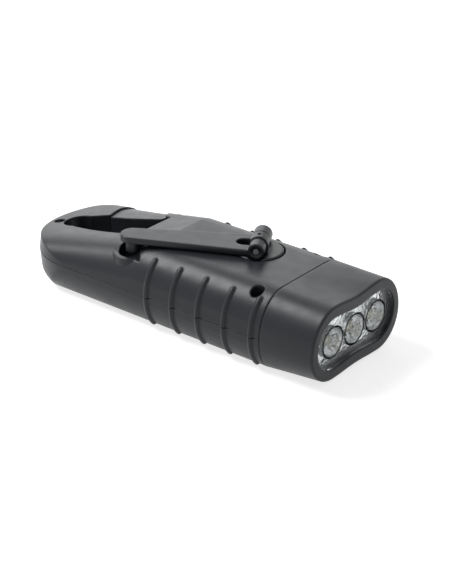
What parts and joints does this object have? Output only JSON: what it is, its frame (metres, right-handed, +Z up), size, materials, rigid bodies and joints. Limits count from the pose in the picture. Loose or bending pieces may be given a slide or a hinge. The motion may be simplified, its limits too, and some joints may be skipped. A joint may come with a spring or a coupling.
{
  "type": "hand crank flashlight",
  "caption": "Hand crank flashlight with a folding crank arm, lamps behind a bean-shaped window, ribbed sides and a carabiner tail with a sprung gate.",
  "frame": {"origin": "on the resting plane below the centre of the body", "axes": "+X along the body towards the lamps, +Y towards the gate's side, +Z up from the underside to the crank"},
  "size_m": [0.132, 0.0498, 0.0327],
  "materials": {
    "case_abs": "satin",
    "clear_acrylic": "clear gloss",
    "chromed_abs": "vacuum chromed",
    "lamp_epoxy": "clear gloss",
    "board_laminate": "satin",
    "component_black": "matte",
    "lead_insulation": "satin",
    "zinc_screw": "zinc plated",
    "steel_pin": "polished",
    "gear_acetal": "satin",
    "plated_steel": "nickel plated",
    "copper_winding": "enamelled",
    "pinion_brass": "machined",
    "ferrite_magnet": "matte",
    "button_rubber": "matte"
  },
  "bodies": {
    "case": {"upper_case": "case_abs", "lower_case": "case_abs", "head_shell": "case_abs", "front_lens": "clear_acrylic", "reflector": "chromed_abs", "lamp_left": "lamp_epoxy", "lamp_middle": "lamp_epoxy", "lamp_right": "lamp_epoxy", "lamp_board": "board_laminate", "lamp_resistors": "component_black", "lamp_leads": "lead_insulation", "first_axle": "steel_pin", "second_axle": "steel_pin", "gear_plate": "case_abs", "generator_can": "plated_steel", "stator_coil": "copper_winding", "battery_holder": "case_abs", "battery_cell": "plated_steel", "battery_contacts": "plated_steel", "main_board": "board_laminate", "storage_capacitor": "component_black", "rectifier_chip": "component_black", "switch_body": "component_black", "gate_spring": "steel_pin", "case_screws": "zinc_screw"},
    "crank": {"crank_hub": "case_abs", "hub_screw": "zinc_screw", "hinge_pin": "steel_pin", "drive_gear": "gear_acetal"},
    "arm": {"crank_arm": "case_abs", "knob_screw": "zinc_screw"},
    "knob": {"crank_knob": "case_abs"},
    "first_gear": {"first_gear": "gear_acetal"},
    "second_gear": {"second_gear": "gear_acetal"},
    "rotor": {"rotor_shaft": "steel_pin", "rotor_pinion": "pinion_brass", "rotor_magnet": "ferrite_magnet"},
    "gate": {"gate": "case_abs"},
    "button": {"switch_button": "button_rubber"}
  },
  "joints": [
    {"name": "crank_turn", "type": "hinge", "parent": "case", "child": "crank", "pos_m": [0.0225, 0.005, 0.024], "axis": [0, 0, 1], "range_deg": [0, 100]},
    {"name": "crank_fold", "type": "hinge", "parent": "crank", "child": "arm", "pos_m": [0.0225, 0.005, 0.0295], "axis": [-0.4756, 0.8796, 0], "range_deg": [0, 180]},
    {"name": "knob_spin", "type": "hinge", "parent": "arm", "child": "knob", "pos_m": [-0.01532, -0.01545, 0.025], "axis": [0, 0, 1], "continuous": true},
    {"name": "first_gear_spin", "type": "hinge", "parent": "case", "child": "first_gear", "pos_m": [0.00722, -0.00199, 0.017], "axis": [0, 0, 1], "continuous": true},
    {"name": "second_gear_spin", "type": "hinge", "parent": "case", "child": "second_gear", "pos_m": [0.02007, -0.00851, 0.015], "axis": [0, 0, 1], "continuous": true},
    {"name": "rotor_spin", "type": "hinge", "parent": "case", "child": "rotor", "pos_m": [0.0311, 0.00075, 0.008], "axis": [0, 0, 1], "continuous": true},
    {"name": "gate_swing", "type": "hinge", "parent": "case", "child": "gate", "pos_m": [-0.0205, 0.017, 0.0125], "axis": [0, 0, 1], "range_deg": [0, 22], "stiffness_Nm_per_rad": 0.03, "springref_deg": -8.59},
    {"name": "button_press", "type": "slide", "parent": "case", "child": "button", "axis": [0, 0, 1], "range_m": [0, 0.0008], "stiffness_N_per_m": 300, "springref_m": -0.0005}
  ],
  "couplings": [
    {"joint": "first_gear_spin", "follows": "crank_turn", "ratio": -3.6667},
    {"joint": "second_gear_spin", "follows": "crank_turn", "ratio": 11},
    {"joint": "rotor_spin", "follows": "crank_turn", "ratio": -33}
  ]
}
